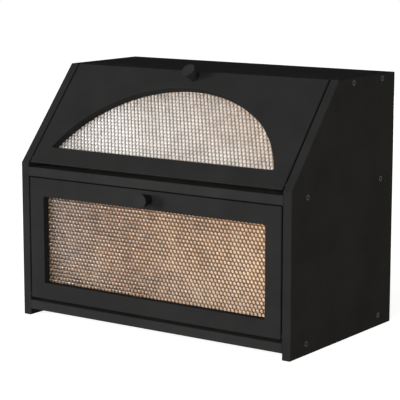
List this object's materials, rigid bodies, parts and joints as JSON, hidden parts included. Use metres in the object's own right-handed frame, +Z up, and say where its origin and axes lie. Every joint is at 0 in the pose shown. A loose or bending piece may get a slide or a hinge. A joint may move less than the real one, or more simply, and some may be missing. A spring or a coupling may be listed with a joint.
{
  "type": "bread box",
  "caption": "Black two-tier bread box with a slanted upper door and an upright lower door, each a drop-down flap with an embossed clear window and a tapered knob.",
  "frame": {"origin": "on the surface that the box stands on, under the middle of its bounding box", "axes": "+X to the right across the width, the longest extent; +Y to the back, the shortest extent; +Z up"},
  "size_m": [0.41, 0.258, 0.3301],
  "materials": {
    "black_board": "satin black lacquer over a faint grain",
    "black_knob": "satin black lacquer, turned",
    "clear_pane": "clear acrylic, embossed in a hexagonal pattern of small domes",
    "dark_screw": "black zinc",
    "bright_steel": "zinc-plated steel",
    "plated_magnet": "nickel plate",
    "bush_plastic": "black nylon"
  },
  "bodies": {
    "carcass": {"left_side_panel": "black_board", "right_side_panel": "black_board", "top_panel": "black_board", "middle_shelf": "black_board", "bottom_panel": "black_board", "back_panel": "black_board", "lower_stop_blocks": "black_board", "left_side_screws": "dark_screw", "right_side_screws": "dark_screw", "back_panel_screws": "dark_screw", "stop_block_screws": "dark_screw", "upper_hinge_bushes": "bush_plastic", "lower_hinge_bushes": "bush_plastic", "upper_catch_magnets": "plated_magnet", "lower_catch_magnets": "plated_magnet"},
    "upper_door": {"upper_door_frame": "black_board", "upper_window_pane": "clear_pane", "upper_pane_screws": "dark_screw", "upper_knob": "black_knob", "upper_knob_screw": "bright_steel", "upper_hinge_pins": "dark_screw", "upper_door_magnets": "plated_magnet"},
    "lower_door": {"lower_door_frame": "black_board", "lower_window_pane": "clear_pane", "lower_pane_screws": "dark_screw", "lower_knob": "black_knob", "lower_knob_screw": "bright_steel", "lower_hinge_pins": "dark_screw", "lower_door_magnets": "plated_magnet"}
  },
  "joints": [
    {"name": "upper_door_hinge", "type": "hinge", "parent": "carcass", "child": "upper_door", "pos_m": [0, -0.10081, 0.2045], "axis": [1, 0, 0], "range_deg": [0, 130]},
    {"name": "lower_door_hinge", "type": "hinge", "parent": "carcass", "child": "lower_door", "pos_m": [0, -0.1062, 0.028], "axis": [1, 0, 0], "range_deg": [0, 90]}
  ]
}
